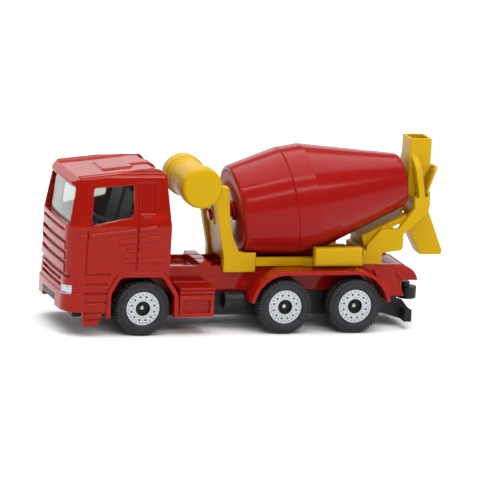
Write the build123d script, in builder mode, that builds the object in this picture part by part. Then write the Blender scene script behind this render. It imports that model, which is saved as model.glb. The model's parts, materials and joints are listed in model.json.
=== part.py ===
from build123d import *
import os

# A pocket-size toy truck with a mixing drum. All sizes are in millimetres.
# +Z is up, the truck's front faces -Y and its left side is +X. The origin is on the
# ground, below the middle of the whole length.

# ---------------------------------------------------------------- driving dimensions
# Along the truck: bumper, front axle, two rear axles, tip of the chute
front_overhang = 19.7
wheelbase = 35.0
bogie_spacing = 17.4
rear_overhang = 24.7
length = front_overhang + wheelbase + bogie_spacing + rear_overhang
front = -length / 2

# Fits and walls
running_clearance = 0.05
seat_clearance = 0.05
moving_gap = 0.4
casting_wall = 1.2
pane_thickness = 0.7

# Wheels and axles
wheel_radius = 6.6
wheel_width = 4.8
wheel_track = 27.0
axle_radius = 0.8
tyre_height = 2.55
tyre_wall = 1.7
rim_radius = wheel_radius - tyre_height
rim_recess = 0.6
hub_recess_radius = 1.76
hub_recess = 1.3
hub_boss_radius = 2.2
hub_boss_reach = 0.5
back_recess_radius = wheel_radius - tyre_wall
back_recess = 1.6
tyre_shoulder = 0.5
rim_hole_count = 12
rim_hole_radius = 0.3
rim_hole_ring = (rim_radius + hub_recess_radius) / 2
rim_hole_depth = 0.3

front_axle_y = front + front_overhang
middle_axle_y = front_axle_y + wheelbase
rear_axle_y = middle_axle_y + bogie_spacing
bogie_y = (middle_axle_y + rear_axle_y) / 2
axle_z = wheel_radius
wheel_face = wheel_track / 2
wheel_back = wheel_face - wheel_width
hub_floor = wheel_face - rim_recess - hub_recess
axle_half_length = hub_floor + 0.8

# Frame
frame_half_width = 6.75
frame_top = 15.3
frame_bottom = 9.3
rail_wall = 1.2
deck_thickness = 1.0
deck_drop = 1.2
frame_front = front + 3.6
frame_rear = rear_axle_y + 13.6
guard_wall = 0.9
guard_end = 7.7
guard_half_width = 13.9
crossbar_y = front_axle_y + 16.5
crossbar_depth = 3.0
crossbar_rise = 0.9
side_box_length = 8.5
side_box_bottom = 4.5
side_box_top = 11.5
side_box_half_width = 13.4
hood_half_width = 7.0
hood_wall = 1.1
hood_lip = 11.4
post_radius = 2.4

# Base
base_half_width = 6.4
base_bottom = 3.3
base_wall = 1.2
base_front = front + 4.3
base_rear = rear_axle_y + 12.6
axle_boss_radius = 2.0
axle_boss_face = wheel_back - hub_boss_reach - 0.3
tank_pod_radius = 2.0
tank_pod_length = 4.9
plate_half_width = 5.4
plate_bottom = 7.0
plate_top = 8.6
bar_half_width = 10.3
rivet_radius = 1.2
rivet_head_radius = 2.0
rivet_head = 0.6
rivet_reach = 5.0

# Cab
cab_width = 27.6
cab_length = 25.6
cab_rear = front + cab_length
belt_height = 26.4
roof_height = 37.3
roof_rise = 2.2
roof_taper = 2.2
screen_rake = 1.9
bumper_depth = 0.4
bumper_bottom = 6.0
bumper_top = 10.3
corner_radius = 4.0
nose_bulge = 0.5
relief = 0.35
louvre_depth = 0.75
seam_width = 0.5
arch_lip = 1.0
lip_proud = 0.25
arch_top = 14.3
step_bottom = 2.6
grille_y = front + bumper_depth
door_front_y = front + 5.2
door_rear_y = front + 17.4

# Drum
drum_tilt = 10.0
drum_radius = 13.1
drum_front_radius = 10.8
drum_rear_radius = 6.7
drum_front_length = 12.6
drum_band_length = 5.6
drum_cone_length = 24.0
drum_seam_y = bogie_y - 6.6
drum_lift = 1.1
drum_seam_z = frame_top + drum_lift + drum_radius
drum_wall = 1.0
drum_edge = 1.2
drum_spigot = 1.6
nose_step = 0.4
front_pin_radius = 1.35
rear_pin_radius = 1.6
pin_reach = 1.3
pin_boss = 0.9
pin_boss_height = 0.6

# Yellow mouldings
leg_gap = 3.8
web_thickness = 1.2
leg_inner = 5.6
leg_outer = 8.0
foot_drop = 1.3
foot_top = 18.7
foot_rear_y = middle_axle_y - 6.4
tank_radius = 5.0
tank_half_length = 9.7
tank_end_length = 4.2
tank_waist = 0.35
tank_y = middle_axle_y - 20.9
tank_z = 34.6
rail_inner = 6.0
rail_outer = 7.6
rail_top = 17.4
box_inner = 9.2
box_outer = 11.4
box_front_y = middle_axle_y + 7.3
box_rear_y = rear_axle_y + 1.7
box_bottom = 15.9
box_top = 20.4
arm_inner = 5.0
arm_outer = 6.6
bearing_thickness = 1.5
plate_crown = 6.6
bracket_top = 31.4
bracket_thickness = 1.3
chute_half_width = 2.7
chute_wall = 0.8
chute_tip_bottom = 16.7
chute_least_reach = 5.0
pivot_radius = 1.7
pivot_pin_radius = 0.6
pivot_pin_head = 1.1
funnel_angle = 100.0
funnel_top = 38.0
funnel_mouth = 4.9
hopper_half_width = 3.2
hopper_wall = 0.6
hopper_neck = 38.6
hopper_top = 45.3
spout_bottom = 35.6

os.makedirs("parts", exist_ok=True)


def save(part, label):
    """Labels a finished piece and writes its STEP file."""
    part.label = label
    export_step(part, f"parts/{label}.step")


# ---------------------------------------------------------------- drum's own directions
drum_origin = Vector(0, drum_seam_y, drum_seam_z)
drum_direction = Vector(0, 1, 0).rotate(Axis.X, drum_tilt)
drum_axis = Axis(drum_origin, drum_direction)
drum_section = Plane(origin=drum_origin, x_dir=drum_direction, z_dir=(1, 0, 0))


def drum_plane(station):
    """Plane square to the drum's axis at a station behind the seam, with its y upward."""
    return Plane(
        origin=drum_origin + drum_direction * station,
        x_dir=(-1, 0, 0),
        z_dir=drum_direction,
    )


drum_nose = -drum_front_length
drum_mouth = drum_band_length + drum_cone_length
front_web_rear = drum_nose - leg_gap
front_web_front = front_web_rear - web_thickness
front_pin_end = front_web_front - pin_reach
rear_web_front = drum_mouth + 2.3
rear_web_rear = rear_web_front + bearing_thickness
rear_pin_end = rear_web_rear - 0.4
mouth_point = drum_origin + drum_direction * drum_mouth
rear_web_point = drum_origin + drum_direction * rear_web_rear
chute_axis_y = rear_web_point.Y + 0.6


# ---------------------------------------------------------------- cab
def cab_outline(height, half_width, nose_y, inset):
    """Plan of the cab at one height: a bulged nose with round corners and a flat back."""
    side = half_width - inset
    tip = nose_y + inset
    with BuildSketch(Plane.XY.offset(height)) as outline:
        with BuildLine():
            nose = ThreePointArc((-side, tip + nose_bulge), (0, tip), (side, tip + nose_bulge))
            Polyline(nose @ 1, (side, cab_rear - inset), (-side, cab_rear - inset), nose @ 0)
        make_face()
        fillet(outline.vertices().group_by(Axis.Y)[0], corner_radius - inset)
    return outline.sketch


def cab_form(inset):
    """Closed form of the cab, drawn in by inset on every face but its bottom."""
    half_width = cab_width / 2
    above_roof = roof_height + 5
    with BuildPart() as form:
        add(cab_outline(0, half_width - relief, grille_y, inset))
        add(cab_outline(belt_height, half_width, grille_y, inset))
        loft(ruled=True)
        add(cab_outline(belt_height, half_width, grille_y, inset))
        add(cab_outline(above_roof, half_width - roof_taper, grille_y + screen_rake, inset))
        loft(ruled=True)
        # The roof rises to the rear, the back leans forward and its top edge is round.
        with BuildSketch(Plane.YZ) as side_view:
            with BuildLine():
                Polyline(
                    (front - 1, 0),
                    (cab_rear - inset, 0),
                    (cab_rear - inset, belt_height),
                    (cab_rear - 1.6 - inset, roof_height + roof_rise - inset),
                    (front + 3.4 + inset, roof_height - inset),
                    (front - 1, roof_height - 2.6 - inset),
                    close=True,
                )
            make_face()
            fillet(side_view.vertices().sort_by(Axis.Y)[-3:].sort_by(Axis.Z)[-1], 3.0)
        extrude(amount=cab_width, both=True, mode=Mode.INTERSECT)
        # The roof is crowned across the truck and round at both shoulders.
        crown = roof_height + roof_rise - inset
        shoulder = half_width - 1.4 - inset
        with BuildSketch(Plane.XZ) as front_view:
            with BuildLine():
                top = ThreePointArc(
                    (-shoulder, crown - 1.7), (0, crown + 0.5), (shoulder, crown - 1.7)
                )
                Polyline(
                    top @ 1,
                    (half_width + 1, crown - 5),
                    (half_width + 1, 0),
                    (-half_width - 1, 0),
                    (-half_width - 1, crown - 5),
                    top @ 0,
                )
            make_face()
        extrude(amount=length, both=True, mode=Mode.INTERSECT)
    return form.part


nose_plane = Plane.XZ.offset(-(front + 6))
side_plane = Plane.YZ.offset(-cab_width)


def front_bands():
    """Front view of the lines sunk in the nose: louvres, grille edges and bumper joint."""
    with BuildSketch() as bands:
        for height in (22.3, 19.9, 17.5):
            with Locations((0, height)):
                RectangleRounded(20.4, 0.9, 0.4)
        with Locations((0, 14.6)):
            RectangleRounded(cab_width - 3, 0.9, 0.4)
        with Locations((-10.4, 18.8), (10.4, 18.8)):
            RectangleRounded(0.7, 7.9, 0.3)
        for height in (13.1, 11.7):
            with Locations((0, height)):
                RectangleRounded(17, 0.7, 0.3)
        with Locations((0, 25.0)):
            RectangleRounded(19, 0.6, 0.25)
    return bands.sketch_local


def side_lines():
    """Side view of the lines sunk in both sides: door gaps, steps and the rear panel."""
    door_middle = (door_front_y + door_rear_y) / 2
    with BuildSketch() as lines:
        with Locations((door_front_y, 20.3)):
            Rectangle(seam_width, 10.6)
        with Locations((door_rear_y, 26.4)):
            Rectangle(seam_width, 20.4)
        with Locations((door_middle - 3.1, 15.0)):
            Rectangle(6.2, seam_width)
        with Locations((door_rear_y + 2.3, 33.1)):
            RectangleRounded(3.9, 7.4, 0.5)
        for height in (12.6, 10.4, 8.2, 5.6, 4.1):
            with Locations((door_front_y + 2.7, height)):
                Rectangle(5.4, 0.6)
    return lines.sketch_local


def side_bars():
    """Side view of the raised lines on both sides: belt bars, handle and panel edge."""
    bars = (
        (front + 3.0, 24.0, front + 22.2, 26.1, 0.7),
        (front + 12.7, 22.6, front + 23.1, 23.8, 0.8),
        (front + 13.7, 18.2, front + 24.3, 18.2, 0.6),
        (front + 14.9, 20.8, front + 18.3, 20.8, 0.7),
        (front + 18.6, 28.6, front + 20.8, 28.6, 0.5),
    )
    with BuildSketch() as raised:
        for start_y, start_z, end_y, end_z, thickness in bars:
            start = Vector(start_y, start_z)
            end = Vector(end_y, end_z)
            with Locations((start + end) / 2):
                angle = (end - start).get_signed_angle(Vector(1, 0, 0), Vector(0, 0, -1))
                SlotOverall((end - start).length, thickness, rotation=angle)
    return raised.sketch_local


def roof_patches():
    """Plan of the raised roof patches: the hatch, its tail and the rails at each side."""
    with BuildSketch() as patches:
        with Locations((0, front + 14.1)):
            RectangleRounded(9, 7.2, 0.5)
        with Locations((0, front + 17.5)):
            Rectangle(3.6, cab_length, align=(Align.CENTER, Align.MIN))
        for rail_x in (-10.9, -9.2, 9.2, 10.9):
            with Locations((rail_x, front + 3.6)):
                Rectangle(0.9, cab_length, align=(Align.CENTER, Align.MIN))
    return patches.sketch_local


def arch_outline(grow):
    """Side view of the front wheel arch, grown by the width of its lip."""
    with BuildSketch() as arch:
        with BuildLine():
            Polyline(
                (front_axle_y - 8.1, 0),
                (front_axle_y - 8.1, 10.4),
                (front_axle_y - 6.0, arch_top),
                (front_axle_y + 4.3, arch_top),
                (front_axle_y + 7.3, 9.8),
                (front_axle_y + 7.7, 0),
                close=True,
            )
        make_face()
        fillet(arch.vertices().filter_by(lambda v: v.Y > 5), 1.6)
        if grow:
            offset(amount=grow)
    return arch.sketch_local


def windows():
    """Side view of the side windows, whose sill rises to the rear."""
    with BuildSketch() as panes:
        with BuildLine():
            Polyline(
                (front + 6.1, 26.6),
                (front + 16.3, 28.7),
                (front + 16.3, 36.1),
                (front + 6.6, 35.4),
                close=True,
            )
        make_face()
        fillet(panes.vertices(), 0.7)
    return panes.sketch_local


def windscreen():
    """Front view of the windscreen opening."""
    with BuildSketch() as screen:
        with BuildLine():
            Polyline((-11.6, 26.5), (11.6, 26.5), (10.9, 35.7), (-10.9, 35.7), close=True)
        make_face()
        fillet(screen.vertices(), 0.9)
    return screen.sketch_local


nose_reach = 10
across = 2 * cab_width
inner_cab = cab_form(casting_wall)

with BuildPart() as side_relief:
    add(cab_form(-relief))
    with BuildSketch(side_plane):
        Rectangle(2 * length, 2 * length)
        add(side_bars(), mode=Mode.SUBTRACT)
    extrude(amount=across, mode=Mode.SUBTRACT)

with BuildPart() as roof_relief:
    add(cab_form(-relief))
    with BuildSketch(Plane.XY):
        Rectangle(2 * length, 2 * length)
        add(roof_patches(), mode=Mode.SUBTRACT)
    extrude(amount=2 * roof_height, mode=Mode.SUBTRACT)
    with BuildSketch(Plane.XY):
        Rectangle(2 * length, 2 * length)
    extrude(amount=roof_height - 1, mode=Mode.SUBTRACT)

# Bumper, standing a little proud of the grille and wrapped round both corners
with BuildPart() as bumper:
    bumper_plan = cab_outline(bumper_bottom, cab_width / 2 - relief, grille_y, -bumper_depth)
    extrude(bumper_plan, amount=bumper_top - bumper_bottom)
    with Locations((0, door_front_y, 0)):
        Box(
            across, cab_length, cab_width,
            align=(Align.CENTER, Align.MIN, Align.CENTER), mode=Mode.SUBTRACT,
        )

# Fender behind the front wheel and the lip round the arch, one side
with BuildPart() as fender:
    with BuildSketch(Plane.YZ.offset(cab_width / 2 - relief - 0.3)):
        add(arch_outline(arch_lip))
        add(arch_outline(0), mode=Mode.SUBTRACT)
    extrude(amount=lip_proud + relief + 0.3)
    with BuildSketch(Plane.YZ.offset(frame_half_width + seat_clearance)):
        add(arch_outline(arch_lip))
        add(arch_outline(0), mode=Mode.SUBTRACT)
        with Locations((front_axle_y + 4, 0)):
            Rectangle(cab_length, arch_top * 2 + 9, align=(Align.MAX, Align.CENTER), mode=Mode.SUBTRACT)
    extrude(amount=cab_width / 2 - frame_half_width)
    with Locations((0, front_axle_y, 0)):
        Box(across * 2, cab_length, side_box_bottom * 2, mode=Mode.SUBTRACT)

with BuildPart() as cab_shell:
    add(cab_form(0))
    add(bumper.part)
    add(side_relief.part)
    add(roof_relief.part)
    with BuildSketch(side_plane):
        add(side_lines())
    extrude(amount=across, mode=Mode.SUBTRACT)
    add(cab_form(relief))
    with BuildSketch(nose_plane):
        add(front_bands())
    extrude(amount=nose_reach, mode=Mode.SUBTRACT)
    add(cab_form(louvre_depth))
    add(inner_cab, mode=Mode.SUBTRACT)
    with BuildSketch(side_plane):
        add(windows())
        add(arch_outline(0))
    extrude(amount=across, mode=Mode.SUBTRACT)
    with BuildSketch(nose_plane):
        add(windscreen())
    extrude(amount=nose_reach, mode=Mode.SUBTRACT)
    # Lower edge: bumper, then the hanging step, then open behind the wheel
    with BuildSketch(side_plane):
        with BuildLine():
            Polyline(
                (front - 2, -1),
                (front - 2, bumper_bottom),
                (door_front_y - 0.4, bumper_bottom),
                (door_front_y, step_bottom),
                (door_front_y + 3.4, step_bottom),
                (door_front_y + 4.6, side_box_bottom + 1),
                (front_axle_y - 8, side_box_bottom + 1),
                (front_axle_y, -1),
                close=True,
            )
        make_face()
    extrude(amount=across, mode=Mode.SUBTRACT)
    # Notch in the bumper for the plate, and the way through for the frame
    with Locations((0, front, 0)):
        Box(
            2 * (plate_half_width + seat_clearance), 6, 2 * (plate_top + seat_clearance),
            mode=Mode.SUBTRACT,
        )
    with Locations((0, cab_rear, 0)):
        Box(2 * (frame_half_width + seat_clearance), 10, 2 * frame_top, mode=Mode.SUBTRACT)
    add(fender.part)
    mirror(fender.part, about=Plane.YZ)
save(cab_shell.part, "cab_shell")


# ---------------------------------------------------------------- glazing and interior
pane_outer = casting_wall + seat_clearance
with BuildPart() as cab_glazing:
    add(cab_form(pane_outer))
    add(cab_form(pane_outer + pane_thickness), mode=Mode.SUBTRACT)
    with BuildSketch(side_plane):
        with BuildLine():
            Polyline(
                (front - 2, -1),
                (front - 2, 25.3),
                (front + 5.0, 25.3),
                (front + 18.2, 27.6),
                (front + 18.2, roof_height + 6),
                (cab_rear + 2, roof_height + 6),
                (cab_rear + 2, -1),
                close=True,
            )
        make_face()
    extrude(amount=across, mode=Mode.SUBTRACT)
save(cab_glazing.part, "cab_glazing")

seat_floor = frame_top + 1.0
seat_half_width = 8.6
with BuildPart() as cab_interior:
    # Floor tray, dashboard and the wall behind the seats, one moulding
    with BuildSketch(Plane.YZ.offset(-10.6)):
        with BuildLine():
            Polyline(
                (front + 4.4, frame_top),
                (front + 4.4, 24.6),
                (front + 6.0, 25.2),
                (front + 8.2, 23.4),
                (front + 8.2, seat_floor),
                (cab_rear - 3.2, seat_floor),
                (cab_rear - 3.2, frame_top),
                close=True,
            )
        make_face()
    extrude(amount=21.2)
    fillet(cab_interior.edges().filter_by(Axis.X).group_by(Axis.Z)[-1], 0.6)
    # Two seats, each a cushion and a leaning back with a round top
    for seat_x in (-5.2, 5.2):
        with BuildSketch(Plane.YZ.offset(seat_x - 3.9)):
            with BuildLine():
                Polyline(
                    (front + 9.6, seat_floor - 0.2),
                    (front + 9.2, 20.2),
                    (front + 14.2, 19.6),
                    (front + 17.4, 33.2),
                    (front + 19.8, 32.6),
                    (front + 17.0, seat_floor - 0.2),
                    close=True,
                )
            make_face()
        extrude(amount=7.8)
    # Steering wheel on its column, to the driver's side
    with BuildSketch(Plane(origin=(5.2, front + 10.0, 26.6), z_dir=(0, 0.5, 0.87))):
        Circle(2.9)
    extrude(amount=0.8)
    with BuildSketch(Plane(origin=(5.2, front + 10.0, 26.8), z_dir=(0, -0.62, -0.78))):
        Circle(0.6)
    extrude(amount=4.0)
save(cab_interior.part, "cab_interior")


# ---------------------------------------------------------------- frame
rivet_stations = (front_axle_y - 8.0, crossbar_y, rear_axle_y + 8.3)
guard_radius = frame_top - axle_z
deck_top = frame_top - deck_drop


def guard_outline(radius):
    """Side view of the rear mudguards: round over both axles and flat between them."""
    with BuildSketch() as guard:
        with Locations((middle_axle_y, axle_z), (rear_axle_y, axle_z)):
            Circle(radius)
        with Locations((bogie_y, axle_z)):
            Rectangle(bogie_spacing, 2 * radius)
    return guard.sketch_local


with BuildPart() as side_casting:
    with BuildSketch(Plane.YZ.offset(frame_half_width - 0.3)):
        add(guard_outline(guard_radius))
        add(guard_outline(guard_radius - guard_wall), mode=Mode.SUBTRACT)
        with Locations((bogie_y, guard_end)):
            Rectangle(length, 4 * guard_radius, align=(Align.CENTER, Align.MAX), mode=Mode.SUBTRACT)
    extrude(amount=guard_half_width - frame_half_width + 0.3)
    # Battery box with a sunk panel and two steps along its top edge
    box_front = front_axle_y + 8.8
    box_middle = box_front + side_box_length / 2
    box_middle_z = (side_box_bottom + side_box_top) / 2
    with BuildSketch(Plane.YZ.offset(frame_half_width - 0.3)):
        with Locations((box_middle, box_middle_z)):
            Rectangle(side_box_length, side_box_top - side_box_bottom)
    extrude(amount=side_box_half_width - frame_half_width + 0.3)
    with BuildSketch(Plane.YZ.offset(side_box_half_width - 0.9)):
        with Locations((box_middle, 7.0)):
            RectangleRounded(side_box_length - 1.8, 3.2, 0.4)
    extrude(amount=1, mode=Mode.SUBTRACT)
    with BuildSketch(Plane.YZ.offset(side_box_half_width - 0.4)):
        for step_z in (9.9, 10.9):
            with Locations((box_middle, step_z)):
                Rectangle(side_box_length, 0.3)
    extrude(amount=1, mode=Mode.SUBTRACT)
    # Slanting panel behind the rear wheel
    with BuildSketch(Plane.YZ.offset(base_half_width + seat_clearance)):
        with BuildLine():
            Polyline(
                (rear_axle_y + 6.0, deck_top),
                (rear_axle_y + 11.3, deck_top),
                (rear_axle_y + 14.2, 7.6),
                (rear_axle_y + 9.3, 7.6),
                close=True,
            )
        make_face()
    extrude(amount=frame_half_width + 0.5 - base_half_width - seat_clearance)

with BuildPart() as chassis_frame:
    # Ladder of two rails, joined by a sunk deck
    with BuildSketch(Plane.XZ.offset(-frame_rear)):
        with Locations((0, (frame_top + frame_bottom) / 2)):
            Rectangle(2 * frame_half_width, frame_top - frame_bottom)
        with Locations((0, frame_top)):
            Rectangle(2 * (frame_half_width - rail_wall), 2 * deck_drop, mode=Mode.SUBTRACT)
        with Locations((0, deck_top - deck_thickness)):
            Rectangle(
                2 * (frame_half_width - rail_wall), 2 * frame_top,
                align=(Align.CENTER, Align.MAX), mode=Mode.SUBTRACT,
            )
    extrude(amount=frame_rear - frame_front)
    # Crossbar behind the cab, notched on top
    with Locations((0, crossbar_y, frame_bottom)):
        Box(
            2 * frame_half_width, crossbar_depth, frame_top + crossbar_rise - frame_bottom,
            align=(Align.CENTER, Align.CENTER, Align.MIN),
        )
    for notch_x in (-2.2, 2.2):
        with Locations((notch_x, crossbar_y, frame_top + crossbar_rise)):
            Box(0.5, crossbar_depth, 0.8, mode=Mode.SUBTRACT)
    # Tail hood, arched over the coupling
    with BuildSketch(Plane.YZ.offset(-hood_half_width)):
        with BuildLine():
            crown = ThreePointArc(
                (frame_rear - 2.6, frame_top - 0.9),
                (frame_rear + 1.2, frame_top - 0.6),
                (frame_rear + 3.9, hood_lip),
            )
            lip = Line(crown @ 1, (frame_rear + 3.9 - hood_wall, hood_lip))
            under = ThreePointArc(
                lip @ 1,
                (frame_rear + 0.6, frame_top - 0.6 - hood_wall),
                (frame_rear - 2.6, frame_top - 0.9 - hood_wall),
            )
            Line(under @ 1, crown @ 0)
        make_face()
    extrude(amount=2 * hood_half_width)
    for side in (-1, 1):
        with BuildSketch(Plane.YZ.offset(side * (hood_half_width - hood_wall))):
            with BuildLine():
                ThreePointArc(crown @ 0, crown @ 0.5, crown @ 1)
                Polyline(crown @ 1, (frame_rear, hood_lip), crown @ 0)
            make_face()
        extrude(amount=side * hood_wall)
    # Posts that stand on the base, one over each rivet
    for station in rivet_stations:
        with BuildSketch(Plane.XY.offset(base_bottom + base_wall)):
            with Locations((0, station)):
                Circle(post_radius)
        extrude(amount=deck_top - base_bottom - base_wall)
    add(side_casting.part)
    mirror(side_casting.part, about=Plane.YZ)
    for station in rivet_stations:
        with Locations((0, station, 0)):
            Cylinder(
                rivet_radius, base_bottom + base_wall + rivet_reach,
                align=(Align.CENTER, Align.CENTER, Align.MIN), mode=Mode.SUBTRACT,
            )
save(chassis_frame.part, "chassis_frame")


# ---------------------------------------------------------------- base
with BuildPart() as baseplate:
    base_length = base_rear - base_front
    with Locations((0, base_front, base_bottom)):
        Box(
            2 * base_half_width, base_length, frame_bottom - base_bottom,
            align=(Align.CENTER, Align.MIN, Align.MIN),
        )
    with Locations((0, base_front + base_wall, base_bottom + base_wall)):
        Box(
            2 * (base_half_width - base_wall), base_length - 2 * base_wall, frame_bottom,
            align=(Align.CENTER, Align.MIN, Align.MIN), mode=Mode.SUBTRACT,
        )
    # Bearing bosses for the three axles
    for axle_y in (front_axle_y, middle_axle_y, rear_axle_y):
        for side in (-1, 1):
            with BuildSketch(Plane.YZ.offset(side * (base_half_width - base_wall))):
                with Locations((axle_y, axle_z)):
                    Circle(axle_boss_radius)
            extrude(amount=side * (axle_boss_face - base_half_width + base_wall))
    # Blank plate that shows in the bumper's notch
    with Locations((0, front + 0.1, (plate_bottom + plate_top) / 2)):
        Box(
            2 * plate_half_width, base_front - front, plate_top - plate_bottom,
            align=(Align.CENTER, Align.MIN, Align.CENTER),
        )
    # Air tanks on both sides, behind the battery boxes
    pod_rear_y = middle_axle_y - guard_radius - moving_gap
    for side in (-1, 1):
        with BuildSketch(Plane.XZ.offset(-pod_rear_y)):
            with Locations((side * (base_half_width + tank_pod_radius - 0.4), 7.4)):
                Circle(tank_pod_radius)
        extrude(amount=tank_pod_length)
    # Rear bar on two struts
    for side in (-1, 1):
        with BuildSketch(Plane.YZ.offset(side * base_half_width)):
            with BuildLine():
                Polyline(
                    (rear_axle_y + 9.0, base_bottom),
                    (rear_axle_y + 13.5, 1.95),
                    (rear_axle_y + 15.4, 1.95),
                    (rear_axle_y + 15.4, 4.9),
                    (rear_axle_y + 14.1, 6.5),
                    (rear_axle_y + 11.5, 7.1),
                    (rear_axle_y + 9.0, frame_bottom),
                    close=True,
                )
            make_face()
        extrude(amount=-side * base_wall)
    with Locations((0, rear_axle_y + 14.45, (1.95 + 4.9) / 2)):
        Box(2 * bar_half_width, 1.9, 4.9 - 1.95)
    # Drawbar and jaw of the coupling
    with Locations((0, base_rear, 6.0)):
        Box(3.0, 2.6, 2.4, align=(Align.CENTER, Align.MIN, Align.MIN))
    with BuildSketch(Plane.XY.offset(5.6)):
        with Locations((0, base_rear + 4.6)):
            Circle(2.4)
            Circle(0.9, mode=Mode.SUBTRACT)
    extrude(amount=2.9)
    with BuildSketch(Plane.XY.offset(8.5)):
        with Locations((0, base_rear + 4.0)):
            Circle(1.3)
    extrude(amount=1.2)
    # Bores for the axles, and seats for the rivets
    for axle_y in (front_axle_y, middle_axle_y, rear_axle_y):
        with Locations(Location((0, axle_y, axle_z), (0, 90, 0))):
            Cylinder(axle_radius + running_clearance, wheel_track, mode=Mode.SUBTRACT)
    for station in rivet_stations:
        with Locations(Location((0, station, base_bottom), (180, 0, 0))):
            CounterBoreHole(rivet_radius, rivet_head_radius, rivet_head, base_wall)
save(baseplate.part, "baseplate")

with BuildPart() as base_rivets:
    for station in rivet_stations:
        with BuildSketch(Plane.XY.offset(base_bottom)):
            with Locations((0, station)):
                Circle(rivet_head_radius)
        extrude(amount=rivet_head)
        with BuildSketch(Plane.XY.offset(base_bottom)):
            with Locations((0, station)):
                Circle(rivet_radius)
        extrude(amount=base_wall + rivet_reach)
save(base_rivets.part, "base_rivets")


# ---------------------------------------------------------------- wheels and axles
def wheel(axle_y, side):
    """One-piece wheel: tyre, foiled rim, hub recess and the hub boss at the back."""
    with BuildPart() as body:
        with BuildSketch(Plane.XZ):
            with BuildLine():
                Polyline(
                    (wheel_back - hub_boss_reach, axle_radius),
                    (wheel_back - hub_boss_reach, hub_boss_radius),
                    (wheel_back + back_recess, hub_boss_radius),
                    (wheel_back + back_recess, back_recess_radius),
                    (wheel_back, back_recess_radius + 0.3),
                    (wheel_back, wheel_radius - tyre_shoulder),
                    (wheel_back + tyre_shoulder, wheel_radius),
                    (wheel_face - tyre_shoulder, wheel_radius),
                    (wheel_face, wheel_radius - tyre_shoulder),
                    (wheel_face, rim_radius + 0.3),
                    (wheel_face - rim_recess, rim_radius),
                    (wheel_face - rim_recess, hub_recess_radius),
                    (hub_floor, hub_recess_radius),
                    (hub_floor, axle_radius),
                    close=True,
                )
            make_face()
        revolve(axis=Axis.X)
        with BuildSketch(Plane.YZ.offset(wheel_face - rim_recess - rim_hole_depth)):
            with PolarLocations(rim_hole_ring, rim_hole_count):
                Circle(rim_hole_radius)
        extrude(amount=1, mode=Mode.SUBTRACT)
    turn = 0 if side > 0 else 180
    return body.part.rotate(Axis.Z, turn).moved(Location((0, axle_y, axle_z)))


def axle(axle_y):
    """Steel axle with round ends."""
    with BuildPart() as rod:
        with BuildSketch(Plane.YZ.offset(-axle_half_length)):
            with Locations((axle_y, axle_z)):
                Circle(axle_radius)
        extrude(amount=2 * axle_half_length)
        fillet(rod.edges().filter_by(GeomType.CIRCLE), axle_radius * 0.6)
    return rod.part


for place, axle_y in (("front", front_axle_y), ("middle", middle_axle_y), ("rear", rear_axle_y)):
    save(axle(axle_y), f"{place}_axle")
    save(wheel(axle_y, 1), f"wheel_{place}_left")
    save(wheel(axle_y, -1), f"wheel_{place}_right")


# ---------------------------------------------------------------- drum
def cone_radius(station):
    """Outer radius of the drum at a station along its axis."""
    if station < 0:
        slope = (drum_radius - drum_front_radius) / drum_front_length
        return drum_radius + slope * station
    slope = (drum_radius - drum_rear_radius) / drum_cone_length
    return drum_radius - slope * max(0, station - drum_band_length)


inner_slope = (drum_radius - drum_front_radius + nose_step) / (drum_front_length - drum_wall)
with BuildPart() as drum_front:
    with BuildSketch(drum_section):
        with BuildLine():
            Polyline(
                (front_pin_end, 0),
                (front_pin_end, front_pin_radius),
                (drum_nose - pin_boss_height, front_pin_radius),
                (drum_nose - pin_boss_height, front_pin_radius + pin_boss),
                (drum_nose, front_pin_radius + pin_boss),
                (drum_nose, drum_front_radius - drum_edge),
                (drum_nose + drum_edge * 0.3, drum_front_radius - drum_edge * 0.3),
                (drum_nose + drum_edge, cone_radius(drum_nose + drum_edge)),
                (0, drum_radius),
                (0, drum_radius - drum_wall),
                (drum_nose + drum_wall, drum_front_radius - drum_wall - nose_step),
                (drum_nose + drum_wall, 0),
                close=True,
            )
        make_face()
    revolve(axis=drum_axis)
save(drum_front.part, "drum_front")

with BuildPart() as drum_rear:
    with BuildSketch(drum_section):
        spigot_radius = drum_radius - drum_wall - inner_slope * drum_spigot - seat_clearance
        with BuildLine():
            Polyline(
                (rear_pin_end, 0),
                (rear_pin_end, rear_pin_radius),
                (drum_mouth + pin_boss_height, rear_pin_radius),
                (drum_mouth + pin_boss_height, rear_pin_radius + pin_boss),
                (drum_mouth, rear_pin_radius + pin_boss),
                (drum_mouth, drum_rear_radius - drum_edge),
                (drum_mouth - drum_edge * 0.3, drum_rear_radius - drum_edge * 0.3),
                (drum_mouth - drum_edge, cone_radius(drum_mouth - drum_edge)),
                (drum_band_length, drum_radius),
                (0, drum_radius),
                (0, spigot_radius),
                (-drum_spigot, spigot_radius),
                (-drum_spigot, spigot_radius - drum_wall),
                (drum_band_length, spigot_radius - drum_wall),
                (drum_mouth - drum_wall, drum_rear_radius - drum_wall - 1.0),
                (drum_mouth - drum_wall, 0),
                close=True,
            )
        make_face()
    revolve(axis=drum_axis)
save(drum_rear.part, "drum_rear")


# Space that the turning drum needs, with the gap all round it
with BuildPart() as drum_sweep:
    with BuildSketch(drum_section):
        with BuildLine():
            Polyline(
                (drum_nose - moving_gap, 0),
                (drum_nose - moving_gap, drum_front_radius + moving_gap),
                (0, drum_radius + moving_gap),
                (drum_band_length, drum_radius + moving_gap),
                (drum_mouth + moving_gap, drum_rear_radius + moving_gap),
                (drum_mouth + moving_gap, 0),
                close=True,
            )
        make_face()
    revolve(axis=drum_axis)


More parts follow.
